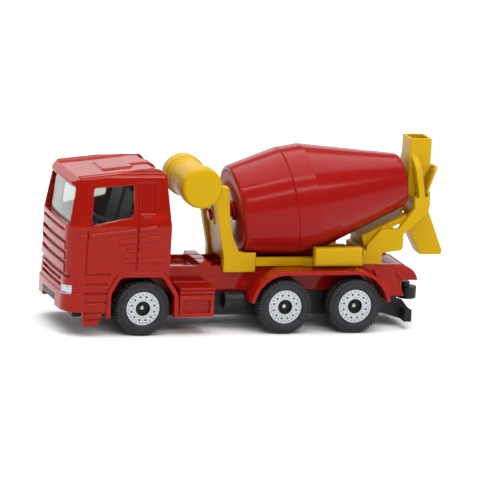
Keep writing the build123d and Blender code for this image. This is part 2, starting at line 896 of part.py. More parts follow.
# ---------------------------------------------------------------- mixer stand and tank
with BuildPart() as stand_side:
    # Foot that clips over the rail, and the leg leaning forward from it
    with BuildSketch(Plane.YZ.offset(leg_inner)):
        with BuildLine():
            Polyline(
                (foot_rear_y - 7.9, frame_top - foot_drop),
                (foot_rear_y, frame_top - foot_drop),
                (foot_rear_y, foot_top),
                (foot_rear_y - 4.0, foot_top),
                (foot_rear_y - 5.7, 21.9),
                (foot_rear_y - 6.8, 26.8),
                (foot_rear_y - 7.6, tank_z),
                (foot_rear_y - 12.0, tank_z),
                (foot_rear_y - 10.4, 29.3),
                (foot_rear_y - 7.9, 17.5),
                close=True,
            )
        make_face()
    extrude(amount=leg_outer - leg_inner)
    # Rail along the frame, and the tool box on its outrigger
    with BuildSketch(Plane.XY.offset(frame_top)):
        with BuildLine():
            Polyline(
                (rail_inner, foot_rear_y - 1),
                (rail_inner, rear_axle_y + 3.2),
                (rail_outer, rear_axle_y + 3.2),
                (rail_outer, box_rear_y),
                (box_inner + 0.3, box_rear_y - 1),
                (box_inner + 0.3, box_front_y + 1),
                (rail_outer, box_front_y - 1.8),
                (rail_outer, foot_rear_y - 1),
                close=True,
            )
        make_face()
    extrude(amount=rail_top - frame_top)
    with Locations((box_inner, box_front_y, box_bottom)):
        Box(
            box_outer - box_inner, box_rear_y - box_front_y, box_top - box_bottom,
            align=(Align.MIN, Align.MIN, Align.MIN),
        )
    fillet(stand_side.faces().sort_by(Axis.X)[-1].edges(), 0.6)

with BuildPart() as mixer_stand:
    add(stand_side.part)
    mirror(stand_side.part, about=Plane.YZ)
    # Web across the legs, square to the drum, with the bore for its front pin
    with BuildSketch(drum_plane(front_web_front)):
        with Locations((0, -3.4)):
            Rectangle(2 * leg_inner + 0.4, 14)
    extrude(amount=web_thickness)
    with BuildSketch(drum_plane(front_web_front - 0.5)):
        Circle(front_pin_radius + 1.1)
    extrude(amount=web_thickness + 1.0)
    with BuildSketch(drum_plane(front_pin_end)):
        Circle(front_pin_radius + running_clearance)
    extrude(amount=5, mode=Mode.SUBTRACT)
    add(drum_sweep.part, mode=Mode.SUBTRACT)
    # Clear of the frame and seated on the tank
    with Locations((0, 0, frame_top)):
        Box(
            2 * (frame_half_width + seat_clearance), length, frame_top,
            align=(Align.CENTER, Align.CENTER, Align.MAX), mode=Mode.SUBTRACT,
        )
    with Locations(Location((0, tank_y, tank_z), (0, 90, 0))):
        Cylinder(tank_radius, 4 * tank_half_length, mode=Mode.SUBTRACT)
save(mixer_stand.part, "mixer_stand")

with BuildPart() as water_tank:
    with BuildSketch(Plane(origin=(0, tank_y, tank_z), x_dir=(1, 0, 0), z_dir=(0, -1, 0))):
        waist_start = tank_half_length - tank_end_length
        with BuildLine():
            Polyline(
                (-tank_half_length, 0),
                (-tank_half_length, tank_radius - 0.8),
                (-tank_half_length + 0.8, tank_radius),
                (-waist_start, tank_radius),
                (-waist_start + tank_waist, tank_radius - tank_waist),
                (waist_start - tank_waist, tank_radius - tank_waist),
                (waist_start, tank_radius),
                (tank_half_length - 0.8, tank_radius),
                (tank_half_length, tank_radius - 0.8),
                (tank_half_length, 0),
                close=True,
            )
        make_face()
    revolve(axis=Axis((0, tank_y, tank_z), (1, 0, 0)))
save(water_tank.part, "water_tank")


# ---------------------------------------------------------------- rear stand with hopper
def under_drum(station, gap):
    """Point in side view below the drum's cone, a gap clear of it."""
    up = drum_plane(station).y_dir
    point = drum_origin + drum_direction * station - up * (cone_radius(station) + gap)
    return (point.Y, point.Z)


hopper_front_y = mouth_point.Y + 0.95
hopper_rear_y = chute_axis_y + 2.0
bracket_bottom = bracket_top - bracket_thickness


def hopper_form(inset):
    """Trough with upright walls that narrows to a spout, drawn in by inset."""
    half_width = hopper_half_width - inset
    depth = hopper_rear_y - hopper_front_y - 2 * inset
    spout_depth = 2.2 - 2 * inset
    with BuildPart() as form:
        with BuildSketch(Plane.XY.offset(spout_bottom - inset)):
            with Locations((0, chute_axis_y)):
                Rectangle(3.4 - 2 * inset, spout_depth)
        with BuildSketch(Plane.XY.offset(hopper_neck)):
            with Locations((0, (hopper_front_y + hopper_rear_y) / 2)):
                Rectangle(2 * half_width, depth)
        loft(ruled=True)
        with BuildSketch(Plane.XY.offset(hopper_neck)):
            with Locations((0, (hopper_front_y + hopper_rear_y) / 2)):
                Rectangle(2 * half_width, depth)
        extrude(amount=hopper_top + inset - hopper_neck)
    return form.part


with BuildPart() as rear_stand:
    # Foot on the frame, behind the rails
    with Locations((0, rear_axle_y + 3.2 + seat_clearance, frame_top)):
        Box(2 * arm_outer, 5.0, 3.4, align=(Align.CENTER, Align.MIN, Align.MIN))
    # Side plates that run up into arms
    for side in (-1, 1):
        with BuildSketch(Plane.YZ.offset(side * arm_inner)):
            with BuildLine():
                Polyline(
                    (rear_axle_y + 4.0, 17.6),
                    (rear_axle_y + 12.9, 18.6),
                    (rear_axle_y + 13.4, 19.3),
                    (rear_web_point.Y - 4.2, 22.6),
                    (rear_web_point.Y + 1.0, 27.3),
                    (rear_web_point.Y + 1.9, 28.8),
                    (rear_web_point.Y + 1.9, bracket_top),
                    (rear_web_point.Y - 2.0, bracket_top),
                    (rear_web_point.Y - 1.8, 28.8),
                    (rear_web_point.Y - 5.5, 23.9),
                    (rear_axle_y + 7.7, 23.8),
                    (rear_axle_y + 4.3, 20.0),
                    close=True,
                )
            make_face()
        extrude(amount=side * (arm_outer - arm_inner))
    add(drum_sweep.part, mode=Mode.SUBTRACT)
    # Cradle, a sloping plate that follows the drum's cone
    cradle_start = drum_band_length + 11.4
    cradle_end = drum_mouth - 0.8
    with BuildSketch(Plane.YZ.offset(-arm_inner)):
        with BuildLine():
            Polyline(
                (rear_axle_y + 4.4, 18.0),
                under_drum(cradle_start, moving_gap + 0.2),
                under_drum(cradle_end, moving_gap + 0.2),
                under_drum(cradle_end, moving_gap + 1.6),
                under_drum(cradle_start + 2.5, moving_gap + 1.6),
                (rear_axle_y + 7.4, 18.0),
                close=True,
            )
        make_face()
    extrude(amount=2 * arm_inner)
    # Bearing plate square to the drum, its lower middle left open for the chute's pivot
    with BuildSketch(drum_plane(rear_web_front)) as bearing:
        with Locations((0, plate_crown)):
            Rectangle(2 * arm_outer, plate_crown + 7.6, align=(Align.CENTER, Align.MAX))
        fillet(bearing.vertices().group_by(Axis.Y)[-1], arm_outer - 1.2)
        with Locations((0, -3.2)):
            Rectangle(2 * arm_inner, 8, align=(Align.CENTER, Align.MAX), mode=Mode.SUBTRACT)
    extrude(amount=bearing_thickness)
    # Bracket for the chute's pivot
    with BuildSketch(Plane.XY.offset(bracket_bottom)):
        with Locations((0, chute_axis_y + 0.2)):
            Rectangle(2 * arm_inner + 0.2, 2.6, align=(Align.CENTER, Align.MAX))
        with Locations((0, chute_axis_y)):
            Circle(pivot_radius)
            Circle(pivot_pin_radius, mode=Mode.SUBTRACT)
    extrude(amount=bracket_thickness)
    # Hopper, and its front half carried straight down to the bearing plate
    add(hopper_form(0))
    hopper_body_rear_y = chute_axis_y - pivot_pin_head - seat_clearance
    with Locations((0, hopper_front_y, bracket_top)):
        Box(
            2 * hopper_half_width, hopper_body_rear_y - hopper_front_y, hopper_neck - bracket_top,
            align=(Align.CENTER, Align.MIN, Align.MIN),
        )
    add(hopper_form(hopper_wall), mode=Mode.SUBTRACT)
    with BuildSketch(drum_plane(drum_mouth)):
        Circle(rear_pin_radius + running_clearance)
    extrude(amount=rear_web_rear - drum_mouth, mode=Mode.SUBTRACT)
    with BuildSketch(drum_plane(drum_mouth)):
        Circle(rear_pin_radius + pin_boss + moving_gap)
    extrude(amount=pin_boss_height + moving_gap, mode=Mode.SUBTRACT)
save(rear_stand.part, "rear_stand")


# ---------------------------------------------------------------- chute
chute_tip_y = max(length / 2, chute_axis_y + chute_least_reach)
funnel_base = bracket_top + moving_gap
neck_inner = pivot_radius + moving_gap
neck_outer = neck_inner + chute_wall
with BuildPart() as chute:
    # Trough with side walls, open to the rear, and the neck that carries the funnel
    with BuildSketch(Plane.YZ.offset(-chute_half_width)) as trough:
        with BuildLine():
            Polyline(
                (chute_axis_y - pivot_radius, bracket_bottom - moving_gap),
                (chute_axis_y - 2.5, 23.0),
                (chute_axis_y + 1.0, chute_tip_bottom),
                (chute_tip_y - 0.3, chute_tip_bottom),
                (chute_tip_y, chute_tip_bottom + 1.0),
                (chute_axis_y + 2.5, 27.4),
                (chute_axis_y + neck_outer, bracket_bottom - moving_gap),
                close=True,
            )
        make_face()
    extrude(amount=2 * chute_half_width)
    with BuildSketch(Plane.YZ.offset(-chute_half_width + chute_wall)):
        with BuildLine():
            Polyline(
                (chute_axis_y - 0.9, bracket_bottom - moving_gap - 1.2),
                (chute_axis_y - 1.6, 23.2),
                (chute_axis_y + 2.2, chute_tip_bottom - 1),
                (chute_tip_y + 2, chute_tip_bottom - 1),
                (chute_tip_y + 2, bracket_bottom - moving_gap - 1.2),
                close=True,
            )
        make_face()
    extrude(amount=2 * (chute_half_width - chute_wall), mode=Mode.SUBTRACT)
    with Locations((0, chute_axis_y + neck_inner, bracket_bottom - moving_gap - 1.2)):
        Box(
            4.0, chute_wall, funnel_base + 1.4 - bracket_bottom + moving_gap,
            align=(Align.CENTER, Align.MIN, Align.MIN),
        )
    # Funnel round the rear of the hopper's spout
    start_direction = Vector(0, 1, 0).rotate(Axis.Z, -funnel_angle / 2)
    side_direction = Vector(1, 0, 0).rotate(Axis.Z, -funnel_angle / 2)
    pivot_origin = Vector(0, chute_axis_y, 0)
    with BuildSketch(Plane(origin=pivot_origin, x_dir=start_direction, z_dir=side_direction)):
        with BuildLine():
            Polyline(
                (neck_inner, funnel_base),
                (neck_outer, funnel_base),
                (funnel_mouth, funnel_top),
                (funnel_mouth - chute_wall, funnel_top),
                close=True,
            )
        make_face()
    revolve(axis=Axis(pivot_origin, (0, 0, 1)), revolution_arc=funnel_angle)
    with BuildSketch(Plane.XY.offset(bracket_bottom - moving_gap - 2)):
        with Locations((0, chute_axis_y)):
            Circle(pivot_pin_radius + running_clearance)
    extrude(amount=3, mode=Mode.SUBTRACT)
save(chute.part, "chute")

with BuildPart() as chute_pin:
    with BuildSketch(Plane.XY.offset(bracket_bottom - moving_gap - 1.6)):
        with Locations((0, chute_axis_y)):
            Circle(pivot_pin_radius)
    extrude(amount=bracket_thickness + moving_gap + 1.6)
    with BuildSketch(Plane.XY.offset(bracket_top)):
        with Locations((0, chute_axis_y)):
            Circle(pivot_pin_head)
    extrude(amount=moving_gap + 0.1)
save(chute_pin.part, "chute_pin")
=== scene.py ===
"""Looks of a pocket-size die-cast toy cement mixer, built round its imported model."""

import json
import math

import bmesh
import bpy
from bpy.props import FloatProperty, FloatVectorProperty, IntProperty, PointerProperty
from mathutils import Matrix, Vector
from mathutils.bvhtree import BVHTree


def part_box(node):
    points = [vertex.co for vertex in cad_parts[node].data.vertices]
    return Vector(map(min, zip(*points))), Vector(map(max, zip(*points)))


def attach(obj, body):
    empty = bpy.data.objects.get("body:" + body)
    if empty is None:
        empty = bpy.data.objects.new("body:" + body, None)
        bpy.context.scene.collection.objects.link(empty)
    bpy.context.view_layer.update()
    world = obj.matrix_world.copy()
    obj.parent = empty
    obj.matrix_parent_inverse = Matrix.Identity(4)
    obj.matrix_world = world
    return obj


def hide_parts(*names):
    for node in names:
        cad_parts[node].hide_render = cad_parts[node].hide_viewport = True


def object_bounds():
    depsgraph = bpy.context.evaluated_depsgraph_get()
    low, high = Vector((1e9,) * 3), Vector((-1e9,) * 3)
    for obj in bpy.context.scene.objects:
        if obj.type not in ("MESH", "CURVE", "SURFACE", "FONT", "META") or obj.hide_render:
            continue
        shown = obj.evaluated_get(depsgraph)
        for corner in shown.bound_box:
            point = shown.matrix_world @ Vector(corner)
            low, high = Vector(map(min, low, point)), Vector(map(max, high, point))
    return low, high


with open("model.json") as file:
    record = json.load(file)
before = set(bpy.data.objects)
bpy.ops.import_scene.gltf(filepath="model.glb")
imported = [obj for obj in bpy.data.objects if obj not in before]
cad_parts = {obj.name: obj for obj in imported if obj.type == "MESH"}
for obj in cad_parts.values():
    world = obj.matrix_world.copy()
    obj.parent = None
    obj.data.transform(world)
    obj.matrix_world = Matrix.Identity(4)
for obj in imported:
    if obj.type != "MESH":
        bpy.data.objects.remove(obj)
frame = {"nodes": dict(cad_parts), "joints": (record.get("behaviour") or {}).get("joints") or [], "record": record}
cad_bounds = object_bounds()

bl_info = {
    "name": "Toy Cement Mixer",
    "version": (1, 0, 0),
    "blender": (4, 5, 0),
    "location": "3D View > Sidebar > Mixer",
    "description": "Enamelled castings, moulded plastics, foiled wheels and the stage",
    "category": "Add Mesh",
}

MM = 0.001
AXLES = ("front", "middle", "rear")
SIDES = ("left", "right")


def linear(hex_colour):
    """Turns an sRGB hex colour into linear red, green and blue."""
    channels = []
    for start in (1, 3, 5):
        value = int(hex_colour[start : start + 2], 16) / 255
        channels.append(value / 12.92 if value <= 0.04045 else ((value + 0.055) / 1.055) ** 2.4)
    return tuple(channels)


# ---------------------------------------------------------------- sizes and colours
def colour_property(name, description, hex_colour):
    """A colour that a user can change, given by its sRGB hex value."""
    return FloatVectorProperty(
        name=name, description=description, subtype="COLOR", size=3, min=0, max=1,
        default=linear(hex_colour),
    )


class FinishSettings(bpy.types.PropertyGroup):
    """Colours of the paint, the plastics and the metals."""

    enamel: colour_property("Enamel", "Red stove enamel on the castings", "#94150A")
    drum: colour_property("Drum", "Red plastic of the drum", "#8E1210")
    yellow: colour_property("Yellow", "Yellow plastic of the mixer's stand, tank and chute", "#C09800")
    base: colour_property("Base", "Black plastic of the base", "#101012")
    tyre: colour_property("Wheel", "Black plastic of the wheels", "#222225")
    interior: colour_property("Interior", "Grey plastic of the seats and dashboard", "#8E8A98")
    foil: colour_property("Foil", "Silver foil on the wheels and lamps", "#B9BEC3")
    steel: colour_property("Steel", "Bright steel of the axles, pin and rivets", "#B9B9B6")
    glazing: colour_property("Glazing", "Clear plastic of the windows", "#CDD2CD")


class CastingSettings(bpy.types.PropertyGroup):
    """How finely the castings and mouldings are meshed, and how soft their edges are."""

    cab_voxel: FloatProperty(
        name="Cab grain", description="Mesh size on the cab, in mm", default=0.14, min=0.1
    )
    voxel: FloatProperty(
        name="Grain", description="Mesh size on other pieces, in mm", default=0.13, min=0.1
    )
    paint_passes: IntProperty(
        name="Paint passes", description="Rounds of softening by the enamel", default=4
    )
    mould_passes: IntProperty(
        name="Mould passes", description="Rounds of softening on mouldings", default=5
    )
    kept_faces: FloatProperty(
        name="Kept faces", description="Share of the faces that is kept", default=0.3, min=0.05, max=1,
        subtype="FACTOR",
    )


class WheelSettings(bpy.types.PropertyGroup):
    """Sizes on the wheels, in millimetres."""

    lugs: IntProperty(name="Lugs", description="Tread lugs round one wheel", default=56)
    lug_depth: FloatProperty(name="Lug depth", description="Depth between two lugs, in mm", default=0.34)
    foil_inner: FloatProperty(
        name="Foil inside", description="Inner radius of the foil, in mm", default=1.78
    )
    foil_outer: FloatProperty(
        name="Foil outside", description="Outer radius of the foil, in mm", default=4.0
    )
    vents: IntProperty(name="Vents", description="Large round holes in the foil", default=12)


class StageSettings(bpy.types.PropertyGroup):
    """Where the camera stands, and the floor."""

    azimuth: FloatProperty(
        name="Azimuth", description="Direction of view round the truck", subtype="ANGLE",
        default=math.radians(72.7),
    )
    elevation: FloatProperty(
        name="Elevation", description="Height of the camera above the horizon", subtype="ANGLE",
        default=math.radians(12.1),
    )
    roll: FloatProperty(
        name="Roll", description="Turn of the camera about its view", subtype="ANGLE",
        default=math.radians(3.3),
    )
    distance: FloatProperty(
        name="Distance", description="From the camera to the truck", unit="LENGTH", default=1.17,
    )
    lens: FloatProperty(name="Lens", description="Focal length, in mm", default=368.2)
    floor: colour_property("Floor", "Pale paper sweep", "#F7F7F8")


# ---------------------------------------------------------------- materials
def node(material, kind, inputs=None, **settings):
    """Adds one shader node with its settings; an input may be a value or another node's output."""
    tree = material.node_tree
    made = tree.nodes.new(kind)
    for name, value in settings.items():
        setattr(made, name, value)
    for key, value in (inputs or {}).items():
        if isinstance(value, bpy.types.NodeSocket):
            tree.links.new(value, made.inputs[key])
        else:
            made.inputs[key].default_value = value
    return made


def new_material(name, **sockets):
    """A material with one principled shader whose constants are given by socket name."""
    material = bpy.data.materials.new(name)
    material.use_nodes = True
    shader = material.node_tree.nodes["Principled BSDF"]
    for key, value in sockets.items():
        socket = shader.inputs[key.replace("_", " ")]
        socket.default_value = (*value, 1) if socket.type == "RGBA" else value
    return material, shader


def connect(material, output, shader, socket):
    """Links a node's output to one socket of the shader."""
    material.node_tree.links.new(output, shader.inputs[socket])


def grain(material, spacing, detail=2.0, stretch=(1, 1, 1)):
    """Noise whose spots are spacing millimetres apart, drawn out along the axes by stretch."""
    place = node(material, "ShaderNodeTexCoord")
    spread = node(
        material, "ShaderNodeMapping",
        {"Vector": place.outputs["Object"], "Scale": tuple(1 / (spacing * MM * s) for s in stretch)},
    )
    return node(
        material, "ShaderNodeTexNoise",
        {"Vector": spread.outputs["Vector"], "Scale": 1.0, "Detail": detail},
    )


def ranged(material, value, low, high, from_low=0.3, from_high=0.7):
    """Stretches a noise value to the range from low to high."""
    made = node(
        material, "ShaderNodeMapRange",
        {"Value": value, "From Min": from_low, "From Max": from_high, "To Min": low, "To Max": high},
    )
    return made.outputs["Result"]


def shaded(material, factor, colour, low, high):
    """The colour, darker by low and lighter by high as the factor runs from 0 to 1."""
    made = node(
        material, "ShaderNodeMix",
        {
            "Factor": factor,
            "A": (*(min(1, c * low) for c in colour), 1),
            "B": (*(min(1, c * high) for c in colour), 1),
        },
        data_type="RGBA",
    )
    return made.outputs[2]


def bump(material, height, depth, strength=1.0):
    """Bump from a height between 0 and 1, depth millimetres deep."""
    made = node(
        material, "ShaderNodeBump", {"Height": height, "Distance": depth * MM, "Strength": strength}
    )
    return made.outputs["Normal"]


def stove_enamel(colour):
    """Red stove enamel sprayed on a zinc die casting.

    It gives a deep wet gloss with a slight orange peel; its colour carries a painted highlight,
    lighter on edges, and a painted shade, darker in corners.
    """
    material, shader = new_material(
        "stove_enamel_on_zinc", Roughness=0.08, IOR=1.5, Specular_IOR_Level=0.3,
        Specular_Tint=(1.0, 0.55, 0.5),
    )
    form = node(material, "ShaderNodeNewGeometry")
    # painted highlight and painted shade: pointiness makes the enamel colour lighter on edges and darker in
    # corners
    painted_edge_highlight_and_crease_shade = ranged(material, form.outputs["Pointiness"], 0, 1, 0.44, 0.56)
    connect(material, shaded(material, painted_edge_highlight_and_crease_shade, colour, 0.55, 1.3), shader, "Base Color")
    flow = grain(material, 9.0)
    connect(material, ranged(material, flow.outputs["Fac"], 0.05, 0.12), shader, "Roughness")
    peel = grain(material, 0.9, 1.0)
    connect(material, bump(material, peel.outputs["Fac"], 0.014), shader, "Normal")
    return material


def moulded_styrene(name, colour, roughness, mark_depth=0.004):
    """Injection-moulded polystyrene in one colour.

    It gives an even satin gloss with faint flow lines from the mould and softly lit edges.
    """
    material, shader = new_material(
        name, Roughness=roughness, IOR=1.56, Subsurface_Weight=0.05, Subsurface_Scale=0.001,
        Specular_IOR_Level=0.22,
        Specular_Tint=tuple(0.45 + 0.55 * channel for channel in colour),
    )
    shader.inputs["Subsurface Radius"].default_value = (1.0, 0.5, 0.2)
    flow = grain(material, 14.0, 3.0, (1, 2.5, 1))
    connect(material, shaded(material, flow.outputs["Fac"], colour, 0.94, 1.05), shader, "Base Color")
    handling = grain(material, 3.0, 4.0)
    rub = ranged(material, handling.outputs["Fac"], roughness - 0.03, roughness + 0.05)
    connect(material, rub, shader, "Roughness")
    texture = grain(material, 0.35, 2.0)
    connect(material, bump(material, texture.outputs["Fac"], mark_depth), shader, "Normal")
    return material


def moulded_black(name, colour, roughness, texture_depth):
    """Black injection-moulded polypropylene with a spark-eroded texture.

    It gives a dull, slightly dusty black; its colour carries a painted grey highlight on raised edges and a
    painted shade in hollows.
    """
    material, shader = new_material(name, Roughness=roughness, IOR=1.49, Specular_IOR_Level=0.3)
    form = node(material, "ShaderNodeNewGeometry")
    # painted highlight and painted shade: pointiness makes the black lighter on raised edges and darker in hollows
    painted_edge_highlight_and_crease_shade = ranged(material, form.outputs["Pointiness"], 0, 1, 0.47, 0.58)
    connect(material, shaded(material, painted_edge_highlight_and_crease_shade, colour, 0.8, 1.9), shader, "Base Color")
    texture = grain(material, 0.25, 3.0)
    connect(material, bump(material, texture.outputs["Fac"], texture_depth), shader, "Normal")
    dust = grain(material, 2.2, 4.0)
    dulled = ranged(material, dust.outputs["Fac"], roughness - 0.08, roughness + 0.12)
    connect(material, dulled, shader, "Roughness")
    return material


def hot_foil(colour):
    """Silver foil pressed hot on moulded plastic.

    It gives a bright, slightly crinkled metal skin that breaks up its reflections.
    """
    material, shader = new_material("hot_stamped_silver_foil", Metallic=1.0, Roughness=0.3)
    mottle = grain(material, 0.5, 4.0)
    connect(material, shaded(material, mottle.outputs["Fac"], colour, 0.75, 1.12), shader, "Base Color")
    connect(material, ranged(material, mottle.outputs["Fac"], 0.22, 0.42), shader, "Roughness")
    crinkle = grain(material, 0.22, 3.0)
    connect(material, bump(material, crinkle.outputs["Fac"], 0.02), shader, "Normal")
    return material


def drawn_steel(colour):
    """Bright drawn steel wire, cut and headed cold.

    It gives a soft grey shine with fine lines along the axle.
    """
    material, shader = new_material("drawn_steel", Metallic=1.0, Roughness=0.3)
    lines = grain(material, 0.12, 3.0, (12, 1, 1))
    connect(material, shaded(material, lines.outputs["Fac"], colour, 0.8, 1.08), shader, "Base Color")
    connect(material, ranged(material, lines.outputs["Fac"], 0.22, 0.42), shader, "Roughness")
    connect(material, bump(material, lines.outputs["Fac"], 0.004), shader, "Normal")
    return material


def clear_styrene(colour):
    """Clear moulded polystyrene.

    It gives see-through panes with a hard gloss and faint ripples from the mould.
    """
    material, shader = new_material(
        "clear_styrene", Base_Color=colour, Transmission_Weight=1.0, Roughness=0.02, IOR=1.45
    )
    ripple = grain(material, 6.0, 1.0)
    connect(material, bump(material, ripple.outputs["Fac"], 0.01), shader, "Normal")
    return material


def paper_sweep(colour):
    """Matt white background paper with a very faint tooth."""
    material, shader = new_material("matt_background_paper", Roughness=0.9, Specular_IOR_Level=0.2)
    tooth = grain(material, 1.5, 3.0)
    connect(material, shaded(material, tooth.outputs["Fac"], colour, 0.99, 1.0), shader, "Base Color")
    return material


def finish(key):
    """The material of one finish, made once from the user's colours."""
    colours = bpy.context.scene.mixer_finish
    makers = {
        "enamel": lambda: stove_enamel(colours.enamel),
        "drum": lambda: moulded_styrene("red_moulded_styrene", colours.drum, 0.17),
        "yellow": lambda: moulded_styrene("yellow_moulded_styrene", colours.yellow, 0.36),
        "interior": lambda: moulded_styrene("grey_moulded_styrene", colours.interior, 0.45),
        "base": lambda: moulded_black("black_moulded_base", colours.base, 0.42, 0.008),
        "tyre": lambda: moulded_black("black_moulded_wheel", colours.tyre, 0.5, 0.012),
        "foil": lambda: hot_foil(colours.foil),
        "steel": lambda: drawn_steel(colours.steel),
        "glazing": lambda: clear_styrene(colours.glazing),
    }
    label = "finish_" + key
    found = bpy.context.scene.get(label)
    if found is None:
        bpy.context.scene[label] = makers[key]().name
    return bpy.data.materials[bpy.context.scene[label]]


# ---------------------------------------------------------------- mesh helpers
def new_piece(name, mesh, key, body, slot, *nodes):
    """Links a mesh as a smooth piece that rides on a body and stands for CAD nodes."""
    piece = bpy.data.objects.new(name, mesh)
    bpy.context.scene.collection.objects.link(piece)
    for polygon in mesh.polygons:
        polygon.use_smooth = True
    if not mesh.materials:
        mesh.materials.append(finish(key))
    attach(piece, body)
    if nodes:
        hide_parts(*nodes)
    return piece


def body_of(node_name):
    """The body that a CAD node belongs to."""
    for body, members in frame["record"]["behaviour"]["bodies"].items():
        if node_name in members:
            return body
    raise ValueError(f"no body holds {node_name}")


def softened_mesh(node_name, voxel, passes, kept):
    """The form of a CAD node with its edges rounded, as by thick paint or a worn mould."""
    mesh = frame["nodes"][node_name].data.copy()
    mesh.transform(Matrix.Scale(1 / MM, 4))
    mesh.materials.clear()
    shape = bpy.data.objects.new(node_name + "_shape", mesh)
    bpy.context.scene.collection.objects.link(shape)
    remesh = shape.modifiers.new("voxels", "REMESH")
    remesh.mode = "VOXEL"
    remesh.voxel_size = voxel
    smooth = shape.modifiers.new("soft_edges", "SMOOTH")
    smooth.factor = 0.5
    smooth.iterations = passes
    thin = shape.modifiers.new("fewer_faces", "DECIMATE")
    thin.ratio = kept
    graph = bpy.context.evaluated_depsgraph_get()
    made = bpy.data.meshes.new_from_object(shape.evaluated_get(graph))
    made.transform(Matrix.Scale(MM, 4))
    bpy.data.objects.remove(shape)
    return made


def soften(piece_name, node_name, key, slot, voxel, passes):
    """Makes the softened piece that stands for one CAD node."""
    kept = bpy.context.scene.mixer_casting.kept_faces
    mesh = softened_mesh(node_name, voxel, passes, kept)
    mesh.name = piece_name
    return new_piece(piece_name, mesh, key, body_of(node_name), slot, node_name)


def rounded(points, radius, steps=5):
    """The points of an outline with each inner corner replaced by an arc."""
    path = [Vector(points[0])]
    for before, corner, after in zip(points, points[1:], points[2:]):
        corner = Vector(corner)
        to_before = Vector(before) - corner
        to_after = Vector(after) - corner
        turn = to_before.angle(to_after)
        reach = min(radius / math.tan(turn / 2), 0.45 * to_before.length, 0.45 * to_after.length)
        start = corner + to_before.normalized() * reach
        end = corner + to_after.normalized() * reach
        for step in range(steps + 1):
            t = step / steps
            path.append(start.lerp(corner, t).lerp(corner.lerp(end, t), t))
    path.append(Vector(points[-1]))
    return path


def lathed_mesh(name, profile, origin, axis, segments, radius_change=None):
    """Turns a profile of (station, radius) points, in millimetres, about an axis.

    radius_change gives how much the radius changes at a point of the profile and a segment.
    """
    axis = Vector(axis).normalized()
    side = axis.orthogonal().normalized()
    across = axis.cross(side)
    mesh_maker = bmesh.new()
    rings = []
    for index, (station, radius) in enumerate(profile):
        centre = Vector(origin) + axis * station * MM
        if radius < 1e-6:
            rings.append([mesh_maker.verts.new(centre)])
            continue
        ring = []
        for segment in range(segments):
            change = radius_change(index, segment) if radius_change else 0
            angle = math.tau * segment / segments
            direction = side * math.cos(angle) + across * math.sin(angle)
            ring.append(mesh_maker.verts.new(centre + direction * (radius + change) * MM))
        rings.append(ring)
    for first, second in zip(rings, rings[1:]):
        for segment in range(segments):
            following = (segment + 1) % segments
            if len(first) == 1:
                mesh_maker.faces.new((first[0], second[segment], second[following]))
            elif len(second) == 1:
                mesh_maker.faces.new((first[segment], second[0], first[following]))
            else:
                mesh_maker.faces.new(
                    (first[segment], second[segment], second[following], first[following])
                )
    bmesh.ops.recalc_face_normals(mesh_maker, faces=mesh_maker.faces)
    mesh = bpy.data.meshes.new(name)
    mesh_maker.to_mesh(mesh)
    mesh_maker.free()
    return mesh


def joint(name):
    """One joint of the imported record: its point and its direction."""
    for entry in frame["joints"]:
        if entry["name"] == name:
            return Vector(entry["pos_m"]), Vector(entry["axis"])
    raise ValueError(f"the frame has no joint {name}")


def centre_of(node_name):
    """Middle of a CAD node's box, in metres."""
    low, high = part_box(node_name)
    return (low + high) / 2


# ---------------------------------------------------------------- operators: castings
class MIXER_OT_cab(bpy.types.Operator):
    """Enamelled cab casting, with the paint's soft edges"""

    bl_idname = "mixer.cab"
    bl_label = "Cab"

    def execute(self, context):
        casting = context.scene.mixer_casting
        soften("cab", "cab_shell", "enamel", "enamel_red", casting.cab_voxel, casting.paint_passes)
        return {"FINISHED"}


class MIXER_OT_frame(bpy.types.Operator):
    """Enamelled frame casting with its mudguards and side boxes"""

    bl_idname = "mixer.frame"
    bl_label = "Frame"

    def execute(self, context):
        casting = context.scene.mixer_casting
        soften("frame", "chassis_frame", "enamel", "enamel_red", casting.voxel, casting.paint_passes)
        return {"FINISHED"}


class MIXER_OT_mouldings(bpy.types.Operator):
    """Moulded pieces: yellow stands and chute, grey interior, black base"""

    bl_idname = "mixer.mouldings"
    bl_label = "Mouldings"

    def execute(self, context):
        casting = context.scene.mixer_casting
        pieces = (
            ("front_stand", "mixer_stand", "yellow", "plastic_yellow"),
            ("rear_cradle_and_hopper", "rear_stand", "yellow", "plastic_yellow"),
            ("discharge_chute", "chute", "yellow", "plastic_yellow"),
            ("seats_and_dashboard", "cab_interior", "interior", "plastic_grey"),
            ("base", "baseplate", "base", "plastic_black"),
        )
        for piece, cad_node, key, slot in pieces:
            soften(piece, cad_node, key, slot, casting.voxel, casting.mould_passes)
        return {"FINISHED"}


class MIXER_OT_small_metal(bpy.types.Operator):
    """Steel rivets in the base and the headed pin of the chute"""

    bl_idname = "mixer.small_metal"
    bl_label = "Rivets and Pin"

    def execute(self, context):
        casting = context.scene.mixer_casting
        soften("rivets", "base_rivets", "steel", "steel", casting.voxel, casting.mould_passes)
        soften("pivot_pin", "chute_pin", "steel", "steel", casting.voxel, 2)
        return {"FINISHED"}


class MIXER_OT_glazing(bpy.types.Operator):
    """Clear moulding behind the windscreen and the side windows"""

    bl_idname = "mixer.glazing"
    bl_label = "Glazing"

    def execute(self, context):
        panes = frame["nodes"]["cab_glazing"]
        panes.data.materials.clear()
        panes.data.materials.append(finish("glazing"))
        return {"FINISHED"}


